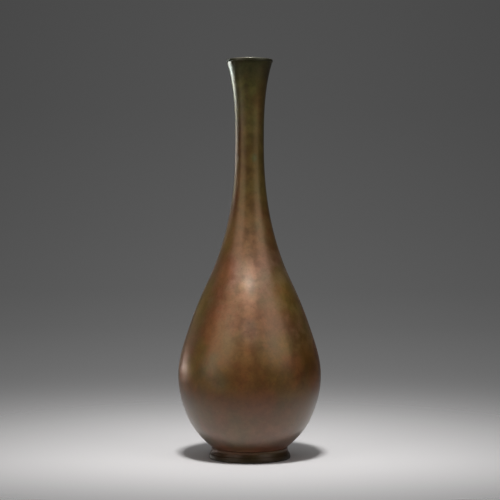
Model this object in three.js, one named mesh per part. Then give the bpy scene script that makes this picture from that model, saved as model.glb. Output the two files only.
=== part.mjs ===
// A slender bottle vase in patinated copper alloy. A pear-shaped belly stands on a low flared foot and draws up
// into a long neck, which opens again to a small mouth with a raised lip.
// Five turned pieces fit together with rebates: foot ring, base plate, belly, neck and lip ring.
// A ring of solder closes each of the four seams between them.
// Millimetres, +Z up. The origin is the centre of the face that the foot stands on.

import * as THREE from 'three';

// Outer form, from the ground up: heights above the ground, radii from the axis,
// and slopes as the radius gained for each millimetre climbed.
const vaseHeight = 303;
const footHeight = 8.1;
const footGroundRadius = 31.1;
const footTopRadius = 28.9;
const footRimRise = 3.5; // how far the foot's side leads upright out of its lower edge
const footTopDrop = 3.5; // how far it leads straight down from its upper edge
const heelRadius = 28.2; // the belly's, where it meets the foot
const heelSlope = 1.23;
const flankHeight = 28;
const flankRadius = 45.5;
const flankSlope = 0.517;
const bellyHeight = 63.2;
const bellyRadius = 54.3;
const shoulderHeight = 102.3;
const shoulderRadius = 45;
const shoulderSlope = -0.341;
const taperHeight = 133.7;
const taperRadius = 32.1;
const taperSlope = -0.477;
const waistHeight = 238.4;
const waistRadius = 10.9;
const mouthRadius = 17.1;
const mouthSlope = 0.298;
const lipHeight = 2.4;
const lipProud = 0.5;

// Metal and seams
const wall = 2.2;
const seamHeight = 166; // where the belly ends and the neck begins
const seamLap = 5;
const lipLap = 3;
const lapDepth = 1; // how far under the outer face a lap runs
const lapGap = 0.15;
const solderPocket = 0.8;

// Foot and base
const footWall = 4.4;
const plateThickness = 2;
const plateRecess = 3.8;
const plateClearance = 0.1;
const spigotWall = 1.6;
const spigotHeight = 2;
const spigotClearance = 0.15;
const baseFillet = 1.2;
const footFilletGap = 0.1;

// Small edges
const footOuterEdge = 0.5;
const footInnerEdge = 0.5;
const footTopEdge = 0.3;
const lipTopEdge = 0.7;
const lipLowerEdge = 0.4;
const lipInnerEdge = 0.6;
const plateEdge = 0.3;

// Fineness of the turned surfaces
const sides = 48;
const outerStep = 8;
const innerStep = 13;
const edgeSteps = 3;

const copper = (color, roughness) => new THREE.MeshStandardMaterial({ color, roughness, metalness: 0.8 });
const bellyPatina = copper(0x6a4a30, 0.42);
const neckPatina = copper(0x46391f, 0.4);
const lipPatina = copper(0x2e2a1a, 0.38);
const footPatina = copper(0x2c2116, 0.45);
const platePatina = copper(0x4a3524, 0.55);
const solder = new THREE.MeshStandardMaterial({ color: 0x7c7667, roughness: 0.5, metalness: 0.9 });

const neckTop = vaseHeight - lipHeight;
const stations = [
  { height: footHeight, radius: heelRadius, slope: heelSlope },
  { height: flankHeight, radius: flankRadius, slope: flankSlope },
  { height: bellyHeight, radius: bellyRadius, slope: 0 },
  { height: shoulderHeight, radius: shoulderRadius, slope: shoulderSlope },
  { height: taperHeight, radius: taperRadius, slope: taperSlope },
  { height: waistHeight, radius: waistRadius, slope: 0 },
  { height: neckTop, radius: mouthRadius, slope: mouthSlope },
];

const at = (radius, height) => new THREE.Vector2(radius, height);

// One smooth stretch of the outer form, from one station to the next. Its height grows evenly along the curve.
function stretch(low, high) {
  const third = (high.height - low.height) / 3;
  return new THREE.CubicBezierCurve(
    at(low.radius, low.height),
    at(low.radius + low.slope * third, low.height + third),
    at(high.radius - high.slope * third, high.height - third),
    at(high.radius, high.height),
  );
}

const stretches = stations.slice(1).map((high, i) => stretch(stations[i], high));

// The wall's radius at a height, at a depth under the outer face that is measured square to the wall.
function wallRadius(height, depth) {
  const last = stretches.length - 1;
  const index = Math.min(last, Math.max(0, stations.findIndex((station) => station.height > height) - 1));
  const i = height >= neckTop ? last : index;
  const share = (height - stations[i].height) / (stations[i + 1].height - stations[i].height);
  const tangent = stretches[i].getTangent(share);
  return stretches[i].getPoint(share).x - depth * Math.hypot(1, tangent.x / tangent.y);
}

// Points along the wall at one depth, from one height to another, up or down.
function along(from, to, depth, step) {
  const count = Math.max(1, Math.ceil(Math.abs(to - from) / step));
  return Array.from({ length: count + 1 }, (_, i) => {
    const height = from + ((to - from) * i) / count;
    return at(wallRadius(height, depth), height);
  });
}

// A quarter-round edge about a centre, from one angle to another, in degrees.
function edge(radius, centreRadius, centreHeight, fromDegrees, toDegrees) {
  const curve = new THREE.EllipseCurve(
    centreRadius, centreHeight, radius, radius,
    THREE.MathUtils.degToRad(fromDegrees), THREE.MathUtils.degToRad(toDegrees), toDegrees < fromDegrees,
  );
  return curve.getPoints(edgeSteps);
}

// A turned ring or disc. Its outline runs up the outside and down the inside.
function turned(name, outline, material) {
  const closed = outline[0].x === 0 ? outline : [...outline, outline[0].clone()];
  const geometry = new THREE.LatheGeometry(closed, sides);
  geometry.rotateX(Math.PI / 2);
  const mesh = new THREE.Mesh(geometry, material);
  mesh.name = name;
  return mesh;
}

const bellyOpening = wallRadius(footHeight, wall);
const spigotRadius = bellyOpening - spigotClearance;
const counterbore = footGroundRadius - footWall;
const ledge = plateRecess + plateThickness;

// The pear-shaped body, open at the bottom, with a spigot at its top for the neck.
function belly() {
  const spigotTop = seamHeight + seamLap;
  const grooveTop = footHeight + spigotHeight;
  return turned('belly', [
    ...along(footHeight, seamHeight, 0, outerStep),
    ...along(seamHeight, spigotTop, lapDepth + lapGap, seamLap / 2),
    ...along(spigotTop, grooveTop, wall, innerStep),
    at(bellyOpening, footHeight),
  ], bellyPatina);
}

// The neck and flare, rebated inside at the bottom over the belly's spigot and at the top for the lip.
function neck() {
  const lowerShelf = seamHeight + seamLap + solderPocket;
  const upperShelf = neckTop - lipLap - solderPocket;
  return turned('neck', [
    ...along(seamHeight, neckTop, 0, outerStep),
    ...along(neckTop, upperShelf, lapDepth, lipLap / 2),
    ...along(upperShelf, lowerShelf, wall, innerStep),
    ...along(lowerShelf, seamHeight, lapDepth, seamLap / 2),
  ], neckPatina);
}

// The raised lip, with a short skirt that drops into the neck's rebate.
function lipRing() {
  const outer = mouthRadius + lipProud;
  const inner = wallRadius(neckTop, wall);
  const skirtEnd = neckTop - lipLap;
  return turned('lip_ring', [
    ...edge(lipLowerEdge, outer - lipLowerEdge, neckTop + lipLowerEdge, -90, 0),
    ...edge(lipTopEdge, outer - lipTopEdge, vaseHeight - lipTopEdge, 0, 90),
    ...edge(lipInnerEdge, inner + lipInnerEdge, vaseHeight - lipInnerEdge, 90, 180),
    ...along(neckTop, skirtEnd, wall, lipLap),
    ...along(skirtEnd, neckTop, lapDepth + lapGap, lipLap / 2),
  ], lipPatina);
}

// The flared foot: a seat and a spigot for the belly on top, and a stepped bore for the base plate underneath.
function footRing() {
  const sideTop = footHeight - footTopEdge;
  const side = new THREE.CubicBezierCurve(
    at(footGroundRadius, footOuterEdge),
    at(footGroundRadius, footOuterEdge + footRimRise),
    at(footTopRadius, sideTop - footTopDrop),
    at(footTopRadius, sideTop),
  );
  return turned('foot_ring', [
    ...edge(footInnerEdge, counterbore + footInnerEdge, footInnerEdge, 180, 270),
    ...edge(footOuterEdge, footGroundRadius - footOuterEdge, footOuterEdge, -90, 0),
    ...side.getPoints(2 * edgeSteps).slice(1, -1),
    ...edge(footTopEdge, footTopRadius - footTopEdge, sideTop, 0, 90),
    at(spigotRadius, footHeight),
    at(spigotRadius, footHeight + spigotHeight),
    at(spigotRadius - spigotWall, footHeight + spigotHeight),
    at(spigotRadius - spigotWall, ledge),
    at(counterbore, ledge),
  ], footPatina);
}

// The disc that closes the bottom, pushed up against the ledge in the foot.
function basePlate() {
  const radius = counterbore - plateClearance;
  return turned('base_plate', [
    at(0, plateRecess),
    at(radius, plateRecess),
    at(radius, ledge - plateEdge),
    at(radius - plateEdge, ledge),
    at(0, ledge),
  ], platePatina);
}

// The solder fillet under the base plate, in the corner that it makes with the foot.
function baseSolder() {
  const radius = counterbore - plateClearance;
  return turned('base_solder', [
    at(radius, plateRecess - baseFillet),
    at(radius, plateRecess),
    at(radius - baseFillet, plateRecess),
  ], solder);
}

// The solder in the groove between the foot's spigot and the inside of the belly.
function footSolder() {
  const low = footHeight + spigotHeight / 4;
  const high = footHeight + spigotHeight;
  return turned('foot_solder', [
    at(spigotRadius + footFilletGap, low),
    at(wallRadius(high, wall) - footFilletGap, high),
    at(spigotRadius + footFilletGap, high),
  ], solder);
}

// The solder in the pocket past the end of a lap.
function lapSolder(name, low) {
  const high = low + solderPocket;
  return turned(name, [
    ...along(low, high, lapDepth + lapGap, solderPocket),
    ...along(high, low, wall, solderPocket),
  ], solder);
}

const vase = new THREE.Group();
vase.add(
  footRing(), basePlate(), belly(), neck(), lipRing(),
  baseSolder(), footSolder(),
  lapSolder('neck_solder', seamHeight + seamLap),
  lapSolder('lip_solder', neckTop - lipLap - solderPocket),
);

export default vase;
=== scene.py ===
import math

import bmesh
import bpy
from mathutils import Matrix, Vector


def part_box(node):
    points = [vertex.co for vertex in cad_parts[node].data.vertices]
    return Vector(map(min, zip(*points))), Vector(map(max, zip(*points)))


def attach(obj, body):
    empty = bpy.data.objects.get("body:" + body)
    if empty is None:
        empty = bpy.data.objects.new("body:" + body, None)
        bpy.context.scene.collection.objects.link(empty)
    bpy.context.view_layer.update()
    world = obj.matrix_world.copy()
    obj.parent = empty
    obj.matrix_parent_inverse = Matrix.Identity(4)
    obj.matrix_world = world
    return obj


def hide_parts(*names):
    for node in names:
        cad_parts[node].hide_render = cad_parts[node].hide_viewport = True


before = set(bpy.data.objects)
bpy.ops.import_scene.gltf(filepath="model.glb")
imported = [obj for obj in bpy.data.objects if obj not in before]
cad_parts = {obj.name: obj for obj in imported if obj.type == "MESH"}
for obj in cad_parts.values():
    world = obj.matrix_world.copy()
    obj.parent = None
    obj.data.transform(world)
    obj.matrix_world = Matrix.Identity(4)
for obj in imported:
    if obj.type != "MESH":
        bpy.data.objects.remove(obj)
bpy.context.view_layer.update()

# Metres, +Z up. The vase stands on its foot at the origin, and the camera looks along +Y.

# Outer form: heights and radii that the turned pieces share, from the frame where it gives them
vase_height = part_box("lip_ring")[1].z
lip_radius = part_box("lip_ring")[1].x
skirt_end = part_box("lip_ring")[0].z
neck_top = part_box("neck")[1].z
seam_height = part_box("neck")[0].z
spigot_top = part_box("belly")[1].z
foot_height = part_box("belly")[0].z
belly_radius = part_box("belly")[1].x
foot_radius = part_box("foot_ring")[1].x
foot_spigot_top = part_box("foot_ring")[1].z
plate_low, plate_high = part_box("base_plate")[0].z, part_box("base_plate")[1].z
plate_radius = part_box("base_plate")[1].x
fillet_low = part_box("base_solder")[0].z
groove_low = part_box("foot_solder")[0].z
neck_pocket_low, neck_pocket_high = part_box("neck_solder")[0].z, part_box("neck_solder")[1].z
lip_pocket_low, lip_pocket_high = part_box("lip_solder")[0].z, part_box("lip_solder")[1].z

foot_top_radius, foot_rim_rise, foot_top_drop = 0.0289, 0.0035, 0.0035
heel_radius, heel_slope = 0.0282, 1.23
flank_height, flank_radius, flank_slope = 0.028, 0.0455, 0.517
belly_height = 0.0632
shoulder_height, shoulder_radius, shoulder_slope = 0.1023, 0.045, -0.341
taper_height, taper_radius, taper_slope = 0.1337, 0.0321, -0.477
waist_height, waist_radius = 0.2384, 0.0109
mouth_radius, mouth_slope = 0.0171, 0.298

# The outer form's stations from the heel up: height, radius and slope
STATIONS = [
    (foot_height, heel_radius, heel_slope),
    (flank_height, flank_radius, flank_slope),
    (belly_height, belly_radius, 0.0),
    (shoulder_height, shoulder_radius, shoulder_slope),
    (taper_height, taper_radius, taper_slope),
    (waist_height, waist_radius, 0.0),
    (neck_top, mouth_radius, mouth_slope),
]

# Metal and seams
wall = 0.0022
lap_depth = 0.001
lap_gap = 0.00015
plate_clearance = 0.0001
spigot_clearance = 0.00015
spigot_wall = 0.0016
foot_fillet_gap = 0.0001

# Small edges
foot_outer_edge = 0.0005
foot_inner_edge = 0.0005
foot_top_edge = 0.0003
lip_top_edge = 0.0007
lip_lower_edge = 0.0004
lip_inner_edge = 0.0006
plate_edge = 0.0003

# Turning marks
foot_line_heights = (0.0026, 0.0042, 0.0062)
foot_line_depth = 0.00012
foot_line_width = 0.0005

# Fineness
around_steps = 192
fine_step = 0.001
inner_step = 0.002
foot_side_steps = 60
edge_steps = 6
weld_distance = 1e-7
sharp_angle = math.radians(38)


def wall_form(height):
    """The outer radius and its slope at a height, on the smooth curve through the stations."""
    height = min(max(height, STATIONS[0][0]), STATIONS[-1][0])
    low, high = next((a, b) for a, b in zip(STATIONS, STATIONS[1:]) if height <= b[0])
    span = high[0] - low[0]
    t = (height - low[0]) / span
    radius = (
        low[1] * (1 + 2 * t) * (1 - t) ** 2
        + low[2] * span * t * (1 - t) ** 2
        + high[1] * t * t * (3 - 2 * t)
        - high[2] * span * t * t * (1 - t)
    )
    slope = (
        (high[1] - low[1]) * 6 * t * (1 - t) / span
        + low[2] * (1 - t) * (1 - 3 * t)
        + high[2] * t * (3 * t - 2)
    )
    return radius, slope


def wall_radius(height, depth):
    """The wall's radius at a depth under the outer face, measured square to the wall."""
    radius, slope = wall_form(height)
    return radius - depth * math.hypot(1, slope)


def along(start, end, depth, step):
    """Points on the wall at one depth, from one height to another."""
    count = max(1, math.ceil(abs(end - start) / step))
    heights = [start + (end - start) * i / count for i in range(count + 1)]
    return [(wall_radius(h, depth), h) for h in heights]


def rounded(radius, centre, start, end):
    """Points on an arc in the outline, from one angle to another, in degrees."""
    angles = [math.radians(start + (end - start) * i / edge_steps) for i in range(edge_steps + 1)]
    return [(centre[0] + radius * math.cos(a), centre[1] + radius * math.sin(a)) for a in angles]


def turned(name, cad_node, outline, materials, inside=None):
    """A turned piece. Its outline runs up the outside and down the inside, in (radius, height).

    inside(radius, height) picks the faces that take the second material."""
    mesh = bpy.data.meshes.new(name)
    shape = bmesh.new()
    turns = [2 * math.pi * i / around_steps for i in range(around_steps)]
    rings = [
        [
            shape.verts.new((radius * math.cos(turn), radius * math.sin(turn), height))
            for radius, height in outline
        ]
        for turn in turns
    ]
    # A solid disc's outline starts and ends on the axis, and no face runs along the axis
    on_axis = outline[0][0] == 0
    count = len(outline) - 1 if on_axis else len(outline)
    for i in range(around_steps):
        here, there = rings[i], rings[(i + 1) % around_steps]
        for j in range(count):
            k = (j + 1) % len(outline)
            face = shape.faces.new((here[j], there[j], there[k], here[k]))
            middle = ((outline[j][0] + outline[k][0]) / 2, (outline[j][1] + outline[k][1]) / 2)
            face.material_index = 1 if inside and inside(*middle) else 0
    bmesh.ops.remove_doubles(shape, verts=shape.verts, dist=weld_distance)
    bmesh.ops.recalc_face_normals(shape, faces=shape.faces)
    shape.to_mesh(mesh)
    shape.free()
    mesh.shade_smooth()
    mesh.set_sharp_from_angle(angle=sharp_angle)
    for material in materials:
        mesh.materials.append(material)
    piece = bpy.data.objects.new(name, mesh)
    bpy.context.scene.collection.objects.link(piece)
    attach(piece, "root")
    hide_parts(cad_node)


def tone(red, green, blue):
    """A colour as it looks on a screen, from 0 to 255, as a linear colour."""
    def linear(value):
        share = value / 255
        return share / 12.92 if share <= 0.04045 else ((share + 0.055) / 1.055) ** 2.4
    return (linear(red), linear(green), linear(blue), 1.0)


def fill(tree, made, inputs):
    """Gives a node its inputs, as values or as sockets to link."""
    for key, value in inputs.items():
        if isinstance(value, bpy.types.NodeSocket):
            tree.links.new(value, made.inputs[key])
        else:
            made.inputs[key].default_value = value


def node(tree, kind, inputs=None, **settings):
    """A shader node with its settings and inputs."""
    made = tree.nodes.new(kind)
    for key, value in settings.items():
        setattr(made, key, value)
    fill(tree, made, inputs or {})
    return made


def calc(tree, operation, a, b=0.0):
    """A number worked out from one or two."""
    return node(tree, "ShaderNodeMath", {0: a, 1: b}, operation=operation).outputs[0]


def vector_calc(tree, operation, a, b):
    """A vector worked out from two."""
    return node(tree, "ShaderNodeVectorMath", {0: a, 1: b}, operation=operation).outputs[0]


def between(tree, value, low, high, start=0.0, end=1.0):
    """Eases from start to end as the value goes from low to high."""
    inputs = {"Value": value, "From Min": low, "From Max": high, "To Min": start, "To Max": end}
    return node(tree, "ShaderNodeMapRange", inputs, interpolation_type="SMOOTHSTEP").outputs[0]


def mixed(tree, share, first, second, blend="MIX"):
    """Two colours mixed."""
    inputs = {0: share, 6: first, 7: second}
    return node(tree, "ShaderNodeMix", inputs, data_type="RGBA", blend_type=blend).outputs[2]


def ramp(tree, value, stops, easing="LINEAR"):
    """A colour that follows a value from 0 to 1, through stops of value and colour."""
    made = node(tree, "ShaderNodeValToRGB", {0: value})
    made.color_ramp.interpolation = easing
    elements = made.color_ramp.elements
    elements.remove(elements[-1])
    elements[0].position, elements[0].color = stops[0]
    for position, colour in stops[1:]:
        elements.new(position).color = colour
    return made.outputs[0]


def group(name, inputs, outputs):
    """An empty node group with named sockets, and its input and output nodes."""
    kinds = {"value": "NodeSocketFloat", "vector": "NodeSocketVector"}
    tree = bpy.data.node_groups.new(name, "ShaderNodeTree")
    for label, kind in inputs.items():
        tree.interface.new_socket(label, in_out="INPUT", socket_type=kinds[kind])
    for label, kind in outputs.items():
        tree.interface.new_socket(label, in_out="OUTPUT", socket_type=kinds[kind])
    return tree, tree.nodes.new("NodeGroupInput").outputs, tree.nodes.new("NodeGroupOutput").inputs


def place(tree, made_group, inputs):
    """A node group placed in a material, with its own values."""
    holder = tree.nodes.new("ShaderNodeGroup")
    holder.node_tree = made_group
    fill(tree, holder, inputs)
    return holder.outputs


# The patina's mottles. Each is a noise with a scale, detail, roughness and distortion, and the last two
# values are the levels of the noise that become 0 and 1.
MOTTLES = {
    "Clouds": (32.0, 4.0, 0.62, 0.1, 0.32, 0.68),
    "Blotches": (120.0, 4.0, 0.6, 0.2, 0.3, 0.7),
    "Grain": (520.0, 3.0, 0.6, 0.0, 0.25, 0.75),
    "Specks": (900.0, 1.0, 0.5, 0.0, 0.62, 0.74),
}

# A patch's edge, for the stains and the painted highlights alike: how ragged it is, and where it starts and
# ends, as shares of the patch's reach
patch_rag = 0.4
patch_edge = (0.1, 1.2)


def mottle_group():
    """Clouds, blotches, fine grain and specks of a chemical patina.

    Flatten squashes them in height, and Shift moves them, so that two finishes differ."""
    tree, given, out = group(
        "mottle",
        {"Place": "vector", "Shift": "value", "Flatten": "value"},
        {label: "value" for label in MOTTLES},
    )
    flatten = node(tree, "ShaderNodeCombineXYZ", {"X": 1.0, "Y": 1.0, "Z": given["Flatten"]}).outputs[0]
    shift = node(tree, "ShaderNodeCombineXYZ", {"X": given["Shift"], "Y": 0.0, "Z": 0.0}).outputs[0]
    moved = vector_calc(tree, "ADD", vector_calc(tree, "MULTIPLY", given["Place"], flatten), shift)
    for label, (scale, detail, roughness, distortion, low, high) in MOTTLES.items():
        inputs = {
            "Vector": moved, "Scale": scale, "Detail": detail,
            "Roughness": roughness, "Distortion": distortion,
        }
        noise = node(tree, "ShaderNodeTexNoise", inputs, noise_dimensions="3D").outputs["Fac"]
        tree.links.new(between(tree, noise, low, high), out[label])
    return tree


def patch_shape_group():
    """A soft-edged patch on the wall, for a stain and for a painted highlight alike: a centre, its reach
    across and up the wall, and a ragged edge.
    """
    tree, given, out = group(
        "patch_shape",
        {"Place": "vector", "Rag": "value", "Centre": "vector", "Across": "value", "Tall": "value"},
        {"Mask": "value"},
    )
    sizes = {"X": given["Across"], "Y": given["Across"], "Z": given["Tall"]}
    reach = node(tree, "ShaderNodeCombineXYZ", sizes).outputs[0]
    offset = vector_calc(tree, "SUBTRACT", given["Place"], given["Centre"])
    scaled = vector_calc(tree, "DIVIDE", offset, reach)
    distance = node(tree, "ShaderNodeVectorMath", {0: scaled}, operation="LENGTH").outputs["Value"]
    rag = calc(tree, "MULTIPLY", calc(tree, "SUBTRACT", given["Rag"], 0.5), patch_rag)
    ragged = calc(tree, "ADD", distance, rag)
    tree.links.new(between(tree, ragged, *patch_edge, 1.0, 0.0), out["Mask"])
    return tree


mottle = mottle_group()
patch_shape = patch_shape_group()

# Patina colours
chestnut = tone(114, 66, 36)
rust = tone(134, 84, 56)
olive = tone(112, 102, 66)
olive_gold = tone(112, 90, 36)
bright_gold = tone(150, 112, 52)
bright_rust = tone(154, 92, 52)
burnt_orange = tone(114, 66, 14)
grey_olive = tone(96, 92, 66)
grey_tan = tone(128, 106, 74)
light_olive = tone(144, 122, 48)
# Painted highlight: a pinkish white for the shoulder's highlight
painted_highlight_rose = tone(168, 134, 112)
pale_copper = tone(186, 124, 76)
# Painted highlight: a neutral grey for the core of the shoulder's highlight
painted_highlight_ash = tone(112, 104, 92)
moss_umber = tone(72, 62, 40)
warm_tan = tone(118, 88, 48)
ochre = tone(129, 86, 40)
umber = tone(70, 52, 34)
bottle_green = tone(76, 74, 42)
moss_brown = tone(101, 92, 45)
warm_brown = tone(110, 85, 41)
nut_brown = tone(126, 97, 62)
rose_brown = tone(136, 106, 84)
tan = tone(132, 98, 67)
red_umber = tone(89, 58, 25)
clay_brown = tone(100, 78, 55)
verdigris = tone(84, 110, 78)
bore_brown = tone(52, 40, 28)
base_brown = tone(84, 62, 44)
solder_grey = tone(118, 112, 100)

# The wall's zones from the heel up, as they would be without their stains and painted highlights: height
# and colour
ZONES = [
    # Painted light: the lowest zone, at the crease over the foot, is lightened against the shade there
    (0.008, tone(168, 116, 92)),
    (0.011, tone(118, 74, 46)),
    (0.015, clay_brown),
    (0.022, clay_brown),
    (0.045, red_umber),
    (0.065, ochre),
    (0.108, tan),
    (0.139, rose_brown),
    (0.165, nut_brown),
    (0.200, warm_brown),
    (0.230, warm_brown),
    (0.257, moss_brown),
    (0.280, moss_brown),
    (0.294, bottle_green),
]

# The foot's zones from the ground up
FOOT_ZONES = [
    (0.0, tone(46, 34, 14)),
    (0.003, tone(64, 45, 19)),
    (0.008, tone(86, 56, 28)),
]

# The lip's zones: dark on its band, darkest just under its top edge, and a painted highlight along the top
# edge
LIP_ZONES_AND_HIGHLIGHT = [
    (0.3006, tone(70, 68, 40)),
    (0.3022, tone(46, 44, 27)),
    # Painted highlight: pale grey along the top edge
    (0.3026, tone(130, 127, 114)),
]

# The wall's stains and painted highlights: azimuth in degrees from the front (negative to the left),
# height, reach across and up, colour, strength
STAINS_AND_HIGHLIGHTS = [
    (-26, 0.126, 0.014, 0.030, bright_rust, 0.5),
    # Painted highlight: spreads the shoulder's highlight to the left
    (-20, 0.138, 0.013, 0.016, painted_highlight_rose, 0.6),
    (-42, 0.138, 0.012, 0.040, bright_rust, 0.7),
    (-46, 0.142, 0.007, 0.014, nut_brown, 0.7),
    (-42, 0.141, 0.008, 0.014, pale_copper, 0.5),
    # Painted highlight: greys the core of the shoulder's highlight
    (-1, 0.134, 0.006, 0.011, painted_highlight_ash, 0.5),
    (-12, 0.131, 0.006, 0.006, nut_brown, 0.45),
    (-38, 0.100, 0.014, 0.032, bright_rust, 0.9),
    (-46, 0.084, 0.010, 0.012, light_olive, 0.5),
    (-68, 0.118, 0.016, 0.062, light_olive, 0.85),
    (-58, 0.164, 0.009, 0.040, bright_gold, 0.8),
    (50, 0.126, 0.017, 0.034, bright_gold, 0.9),
    (66, 0.110, 0.014, 0.045, olive_gold, 0.6),
    (62, 0.172, 0.010, 0.036, burnt_orange, 0.5),
    (57, 0.074, 0.020, 0.034, burnt_orange, 0.9),
    (48, 0.066, 0.008, 0.010, umber, 0.35),
    (18, 0.172, 0.007, 0.012, umber, 0.25),
    (22, 0.094, 0.014, 0.020, grey_olive, 0.45),
    (32, 0.091, 0.008, 0.012, light_olive, 0.3),
    (30, 0.071, 0.010, 0.012, tan, 0.35),
    (-34, 0.072, 0.014, 0.016, grey_tan, 0.7),
    (-25, 0.062, 0.010, 0.008, grey_tan, 0.7),
    (-56, 0.072, 0.012, 0.012, light_olive, 0.4),
    (-60, 0.066, 0.009, 0.012, umber, 0.2),
    # Painted highlight: a pale streak under the highlight's core
    (0, 0.099, 0.008, 0.014, painted_highlight_rose, 0.5),
    (-2, 0.084, 0.010, 0.020, bright_rust, 0.5),
    (-4, 0.069, 0.016, 0.012, bright_rust, 0.5),
    (-4, 0.064, 0.008, 0.006, chestnut, 0.5),
    (-48, 0.203, 0.004, 0.024, rust, 0.6),
    (-42, 0.264, 0.006, 0.026, moss_umber, 0.6),
    (-38, 0.235, 0.006, 0.020, red_umber, 0.6),
    (-13, 0.278, 0.004, 0.006, umber, 0.6),
    (-12, 0.228, 0.004, 0.010, red_umber, 0.7),
    (34, 0.270, 0.005, 0.018, olive_gold, 0.5),
    (42, 0.250, 0.005, 0.022, warm_tan, 0.5),
    (40, 0.297, 0.009, 0.010, olive, 0.6),
    (18, 0.228, 0.003, 0.004, verdigris, 0.4),
    (95, 0.080, 0.026, 0.030, chestnut, 0.5),
    (150, 0.120, 0.020, 0.036, olive, 0.6),
    (-110, 0.070, 0.024, 0.026, ochre, 0.5),
    (-150, 0.110, 0.022, 0.034, chestnut, 0.55),
    (180, 0.055, 0.022, 0.020, olive, 0.5),
    (125, 0.175, 0.008, 0.030, chestnut, 0.5),
]

# How strongly the clouds and the specks colour the ground, and how blotches and grain darken and lighten it
cloud_share = 0.15
speck_share = 0.25
blotch_shade = (0.88, 1.12)
grain_shade = (0.93, 1.07)

# Red, green and blue of the tint from a greenish to a reddish cloud, at about the same brightness
CLOUD_TINTS = ((0.92, 1.08), (1.03, 0.97), (1.0, 1.0))

# The grain's relief, how the metal's own mirror dims towards the rim of the form, and the wax on it
grain_relief, grain_height = 0.08, 0.0002
edge_tint = (0.7, 0.7, 0.7, 1.0)
wax_roughness = 0.33
wax_index = 1.6

# The heights between which the wax thins out above the heel
heel_reach = (0.038, 0.064)


def by_height(tree, height, zones):
    """A ground colour that eases from zone to zone up the vase."""
    share = calc(tree, "DIVIDE", height, vase_height)
    return ramp(tree, share, [(level / vase_height, colour) for level, colour in zones], "EASE")


def with_stains_and_highlights(tree, colour, position, rag):
    """The ground colour with all the stains and painted highlights on it."""
    for azimuth, height, across, tall, patch_tone, strength in STAINS_AND_HIGHLIGHTS:
        angle = math.radians(azimuth)
        radius = wall_form(height)[0]
        centre = (radius * math.sin(angle), -radius * math.cos(angle), height)
        inputs = {"Place": position, "Rag": rag, "Centre": centre, "Across": across, "Tall": tall}
        mask = place(tree, patch_shape, inputs)["Mask"]
        colour = mixed(tree, calc(tree, "MULTIPLY", mask, strength), colour, patch_tone)
    return colour


def patina(
    name, ground, shift=0.0, flatten=1.0, roughness=(0.36, 0.44), metallic=(0.6, 0.7),
    wax=0.42, heel_wax=None, stained_and_highlighted=False,
):
    """A waxed copper patina on a ground of one colour, or of zones by height.

    roughness and metallic run from the first to the second value with the blotches and the clouds, and
    heel_wax is the thicker wax low down."""
    material = bpy.data.materials.new(name)
    material.use_nodes = True
    tree = material.node_tree
    shader = tree.nodes["Principled BSDF"]
    position = node(tree, "ShaderNodeTexCoord").outputs["Object"]
    height = node(tree, "ShaderNodeSeparateXYZ", {0: position}).outputs["Z"]
    marks = place(tree, mottle, {"Place": position, "Shift": shift, "Flatten": flatten})
    colour = by_height(tree, height, ground) if isinstance(ground, list) else ground
    reddish, greenish = umber, bottle_green
    if stained_and_highlighted:
        colour = with_stains_and_highlights(tree, colour, position, marks["Blotches"])
        reddish, greenish = rust, olive_gold
    colour = mixed(tree, calc(tree, "MULTIPLY", marks["Clouds"], cloud_share), colour, reddish)
    gaps = calc(tree, "SUBTRACT", 1.0, marks["Clouds"])
    colour = mixed(tree, calc(tree, "MULTIPLY", gaps, cloud_share), colour, greenish)
    shade = between(tree, marks["Blotches"], 0.0, 1.0, *blotch_shade)
    shade = calc(tree, "MULTIPLY", shade, between(tree, marks["Grain"], 0.0, 1.0, *grain_shade))
    tints = [
        calc(tree, "MULTIPLY", shade, between(tree, marks["Clouds"], 0.0, 1.0, *ends))
        for ends in CLOUD_TINTS
    ]
    tint = node(tree, "ShaderNodeCombineXYZ", dict(enumerate(tints))).outputs[0]
    colour = mixed(tree, 1.0, colour, tint, "MULTIPLY")
    colour = mixed(tree, calc(tree, "MULTIPLY", marks["Specks"], speck_share), colour, umber)
    relief = {"Strength": grain_relief, "Distance": grain_height, "Height": marks["Grain"]}
    fill(tree, shader, {
        "Base Color": colour,
        "Roughness": between(tree, marks["Blotches"], 0.0, 1.0, *roughness),
        "Metallic": between(tree, marks["Clouds"], 0.0, 1.0, *metallic),
        "Normal": node(tree, "ShaderNodeBump", relief).outputs[0],
        "Specular Tint": edge_tint,
        "Coat Weight": between(tree, height, *heel_reach, heel_wax, wax) if heel_wax else wax,
        "Coat Roughness": wax_roughness,
        "Coat IOR": wax_index,
    })
    return material


# Painted light in the body's zones and patches: lighter at the heel, and highlights on the shoulder
body_patina = patina("body_patina", ZONES, heel_wax=1.0, stained_and_highlighted=True)
bore_patina = patina("bore_patina", bore_brown, shift=3.0, roughness=(0.6, 0.75))
# The lip's zones hold a painted highlight along its top edge
lip_patina = patina("lip_patina", LIP_ZONES_AND_HIGHLIGHT, shift=1.0)
foot_patina = patina("foot_patina", FOOT_ZONES, shift=2.0, flatten=2.0, roughness=(0.5, 0.58), wax=0.35)
base_patina = patina("base_patina", base_brown, shift=4.0, roughness=(0.45, 0.6))
solder_metal = patina("solder_metal", solder_grey, shift=5.0, metallic=(0.8, 0.9))


def in_bore(radius, height):
    """Whether a face lies in the bore or a seam, deeper than a third of the wall."""
    return radius < wall_radius(height, wall / 3)


def belly_piece():
    """The belly, with the spigot of the lap at its top and its seat on the foot."""
    outline = [
        *along(foot_height, seam_height, 0, fine_step),
        *along(seam_height, spigot_top, lap_depth + lap_gap, fine_step),
        *along(spigot_top, foot_spigot_top, wall, inner_step),
        (wall_radius(foot_height, wall), foot_height),
    ]
    turned("belly_shell", "belly", outline, (body_patina, bore_patina), in_bore)


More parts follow.
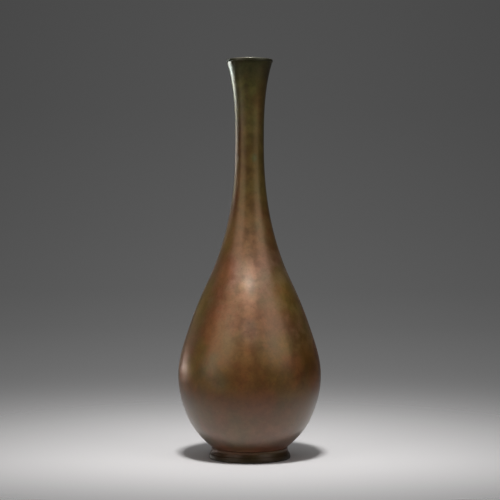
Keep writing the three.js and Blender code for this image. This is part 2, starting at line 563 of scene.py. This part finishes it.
def neck_piece():
    """The neck, with the socket of the lap at its bottom and a rebate for the lip's skirt at its top."""
    outline = [
        *along(seam_height, neck_top, 0, fine_step),
        *along(neck_top, lip_pocket_low, lap_depth, fine_step),
        *along(lip_pocket_low, neck_pocket_high, wall, inner_step),
        *along(neck_pocket_high, seam_height, lap_depth, fine_step),
    ]
    turned("neck_shell", "neck", outline, (body_patina, bore_patina), in_bore)


def lip_piece():
    """The band round the mouth, with a skirt that reaches down inside the neck."""
    inner = wall_radius(neck_top, wall)
    lower = (lip_radius - lip_lower_edge, neck_top + lip_lower_edge)
    upper = (lip_radius - lip_top_edge, vase_height - lip_top_edge)
    mouth = (inner + lip_inner_edge, vase_height - lip_inner_edge)
    outline = [
        *rounded(lip_lower_edge, lower, -90, 0),
        *rounded(lip_top_edge, upper, 0, 90),
        *rounded(lip_inner_edge, mouth, 90, 180),
        *along(neck_top, skirt_end, wall, fine_step),
        *along(skirt_end, neck_top, lap_depth + lap_gap, fine_step),
    ]
    turned("lip_band", "lip_ring", outline, (lip_patina, bore_patina), in_bore)


def foot_side(t):
    """A point on the foot's side, fine lines included, at a share t of its curve from the lower edge up."""
    top = foot_height - foot_top_edge
    points = [
        (foot_radius, foot_outer_edge),
        (foot_radius, foot_outer_edge + foot_rim_rise),
        (foot_top_radius, top - foot_top_drop),
        (foot_top_radius, top),
    ]
    weights = ((1 - t) ** 3, 3 * t * (1 - t) ** 2, 3 * t * t * (1 - t), t ** 3)
    radius = sum(weight * point[0] for weight, point in zip(weights, points))
    height = sum(weight * point[1] for weight, point in zip(weights, points))
    groove = sum(
        foot_line_depth * math.exp(-((height - line) / (foot_line_width / 2)) ** 2)
        for line in foot_line_heights
    )
    return radius - groove, height


def foot_piece():
    """The foot, with its spigot inside the belly and a counterbore for the base disc."""
    counterbore = plate_radius + plate_clearance
    spigot = wall_radius(foot_height, wall) - spigot_clearance
    inner_edge = (counterbore + foot_inner_edge, foot_inner_edge)
    outline = [
        *rounded(foot_inner_edge, inner_edge, 180, 270),
        *rounded(foot_outer_edge, (foot_radius - foot_outer_edge, foot_outer_edge), -90, 0),
        *[foot_side(i / foot_side_steps) for i in range(1, foot_side_steps)],
        *rounded(foot_top_edge, (foot_top_radius - foot_top_edge, foot_height - foot_top_edge), 0, 90),
        (spigot, foot_height),
        (spigot, foot_spigot_top),
        (spigot - spigot_wall, foot_spigot_top),
        (spigot - spigot_wall, plate_high),
        (counterbore, plate_high),
    ]
    turned("foot", "foot_ring", outline, (foot_patina,))


def base_piece():
    """The disc that closes the bottom."""
    middle = plate_radius / 2
    outline = [
        (0, plate_low),
        (middle, plate_low),
        (plate_radius, plate_low),
        *rounded(plate_edge, (plate_radius - plate_edge, plate_high - plate_edge), 0, 90),
        (middle, plate_high),
        (0, plate_high),
    ]
    turned("base_disc", "base_plate", outline, (base_patina,))


def base_fillet():
    """The fillet of solder in the corner under the disc."""
    size = plate_low - fillet_low
    outline = [(plate_radius, plate_low), *rounded(size, (plate_radius - size, fillet_low), 90, 0)]
    turned("base_fillet", "base_solder", outline, (solder_metal,))


def foot_fillet():
    """The fillet of solder between the foot's spigot and the belly."""
    inner = wall_radius(foot_height, wall) - spigot_clearance + foot_fillet_gap
    outline = [
        (inner, groove_low),
        (wall_radius(foot_spigot_top, wall) - foot_fillet_gap, foot_spigot_top),
        (inner, foot_spigot_top),
    ]
    turned("foot_fillet", "foot_solder", outline, (solder_metal,))


def lap_fillet(name, cad_node, low, high):
    """The ring of solder in the pocket past the end of a lap."""
    outline = [
        *along(low, high, lap_depth + lap_gap, high - low),
        *along(high, low, wall, high - low),
    ]
    turned(name, cad_node, outline, (solder_metal,))


belly_piece()
neck_piece()
lip_piece()
foot_piece()
base_piece()
base_fillet()
foot_fillet()
lap_fillet("neck_fillet", "neck_solder", neck_pocket_low, neck_pocket_high)
lap_fillet("lip_fillet", "lip_solder", lip_pocket_low, lip_pocket_high)

# Studio: a pale floor whose fade into the grey of the room is a painted falloff of light, and soft lamps
floor_reach = 0.9
floor_grey = tone(231, 229, 229)
floor_roughness, floor_gloss = 0.9, 0.1

# How far from the vase the floor has faded to a little over a third: to the sides, behind and in front
pool_across, pool_back, pool_front = 0.285, 0.325, 0.17

# The room's grey by the rise of the line of sight, which is the sine of its angle above level
ROOM_GREYS = [
    (-0.12, 120),
    (-0.095, 111),
    (-0.07, 100),
    (-0.045, 93),
    (0.0, 88),
    (0.08, 81),
    (0.16, 78),
    (0.5, 70),
]
rise_low, rise_high = -0.2, 0.6

# The room's dimmer light away from the backdrop, and the line of sight's Y where the backdrop starts and
# where it is full
room_dimness = 0.42
backdrop_edge = (0.7, 0.97)

# The backdrop's light at its sides, where it is a little darker, and the line of sight's X there
backdrop_side = 0.76
backdrop_half = 0.3

lamp_centre = Vector((0, 0, 0.14))
neutral, cool = (1.0, 1.0, 1.0), (0.84, 0.93, 1.0)

# Lamps: azimuth from the camera's side (positive to the right), elevation and distance from lamp_centre,
# width, height, watts, the height that it is aimed at, the spread of its beam in degrees, and its colour.
# The last three stand behind the vase, and draw a line of light down its left rim: on the neck, the belly
# and the foot.
LAMPS = {
    "key": (-3, 66, 1.6, 0.22, 0.22, 22.6, 0.14, 180, neutral),
    "overhead": (0, 89, 1.4, 1.6, 1.6, 3.8, 0.14, 180, neutral),
    "left_inner": (-42, 26, 1.5, 0.4, 0.9, 1.72, 0.14, 180, neutral),
    "left_outer": (-64, 15, 1.5, 0.4, 0.9, 1.48, 0.14, 180, neutral),
    "right_inner": (42, 28, 1.5, 0.4, 0.8, 1.44, 0.14, 180, neutral),
    "right_outer": (62, 26, 1.5, 0.4, 0.8, 1.4, 0.14, 180, neutral),
    "left_edge": (-132, 1.6, 1.3, 1.0, 0.23, 0.26, 0.305, 17, cool),
    "left_low": (-127, -4, 1.3, 0.55, 0.14, 0.013, 0.05, 20, neutral),
    "left_foot": (-137, -4, 1.3, 0.2, 0.1, 0.0023, 0.002, 6, neutral),
}

# The camera: its place, how many degrees it looks down, and its lens and film width in millimetres
camera_place = (0.0003, -1.091, 0.177)
camera_down = 0.985
camera_lens, film_width = 103.14, 36.0


def floor():
    """A flat floor, pale near the vase and see-through away from it: a painted falloff of light."""
    mesh = bpy.data.meshes.new("floor")
    r = floor_reach
    mesh.from_pydata([(-r, -r, 0), (r, -r, 0), (r, r, 0), (-r, r, 0)], [], [(0, 1, 2, 3)])
    material = bpy.data.materials.new("floor")
    material.use_nodes = True
    tree = material.node_tree
    shader = tree.nodes["Principled BSDF"]
    fill(tree, shader, {
        "Base Color": floor_grey, "Roughness": floor_roughness, "Specular IOR Level": floor_gloss,
    })
    position = node(tree, "ShaderNodeTexCoord").outputs["Object"]
    parts = node(tree, "ShaderNodeSeparateXYZ", {0: position}).outputs
    across = calc(tree, "DIVIDE", parts["X"], pool_across)
    behind = calc(tree, "DIVIDE", calc(tree, "MAXIMUM", parts["Y"], 0.0), pool_back)
    ahead = calc(tree, "DIVIDE", calc(tree, "MINIMUM", parts["Y"], 0.0), pool_front)
    deep = calc(tree, "ADD", behind, ahead)
    across_square = calc(tree, "MULTIPLY", across, across)
    deep_square = calc(tree, "MULTIPLY", deep, deep)
    fade = calc(tree, "MULTIPLY", calc(tree, "ADD", across_square, deep_square), -1.0)
    # Painted light: the floor fades out away from the vase, as the light falls off
    painted_light_pool = calc(tree, "EXPONENT", fade)
    clear = tree.nodes.new("ShaderNodeBsdfTransparent")
    mix = node(tree, "ShaderNodeMixShader", {0: painted_light_pool, 1: clear.outputs[0], 2: shader.outputs[0]})
    tree.links.new(mix.outputs[0], tree.nodes["Material Output"].inputs["Surface"])
    mesh.materials.append(material)
    made = bpy.data.objects.new("floor", mesh)
    bpy.context.scene.collection.objects.link(made)


def room():
    """The grey room and its backdrop."""
    world = bpy.data.worlds.new("room")
    bpy.context.scene.world = world
    world.use_nodes = True
    tree = world.node_tree
    direction = node(tree, "ShaderNodeTexCoord").outputs["Generated"]
    parts = node(tree, "ShaderNodeSeparateXYZ", {0: direction}).outputs
    levels = {"Value": parts["Z"], "From Min": rise_low, "From Max": rise_high}
    share = node(tree, "ShaderNodeMapRange", levels).outputs[0]
    span = rise_high - rise_low
    stops = [((rise - rise_low) / span, tone(grey, grey, grey)) for rise, grey in ROOM_GREYS]
    strength = between(tree, parts["Y"], *backdrop_edge, room_dimness, 1.0)
    sideways = calc(tree, "ABSOLUTE", parts["X"])
    side_strength = between(tree, sideways, 0.0, backdrop_half, 1.0, backdrop_side)
    fill(tree, tree.nodes["Background"], {
        "Color": ramp(tree, share, stops), "Strength": calc(tree, "MULTIPLY", strength, side_strength),
    })


def lamps():
    for name, (azimuth, elevation, distance, width, height, watts, aim, spread, colour) in LAMPS.items():
        light = bpy.data.lights.new(name, "AREA")
        light.shape = "RECTANGLE"
        light.size, light.size_y = width, height
        light.spread = math.radians(spread)
        light.energy = watts
        light.color = colour
        made = bpy.data.objects.new(name, light)
        a, e = math.radians(azimuth), math.radians(elevation)
        away = Vector((math.sin(a) * math.cos(e), -math.cos(a) * math.cos(e), math.sin(e)))
        made.location = lamp_centre + away * distance
        made.rotation_euler = (made.location - Vector((0, 0, aim))).to_track_quat("Z", "Y").to_euler()
        made.visible_camera = False
        bpy.context.scene.collection.objects.link(made)


def camera():
    data = bpy.data.cameras.new("camera")
    data.lens, data.sensor_width = camera_lens, film_width
    made = bpy.data.objects.new("camera", data)
    made.location = camera_place
    made.rotation_euler = (math.radians(90 - camera_down), 0, 0)
    bpy.context.scene.collection.objects.link(made)
    bpy.context.scene.camera = made


floor()
room()
lamps()
camera()
bpy.context.scene.view_settings.view_transform = "Standard"
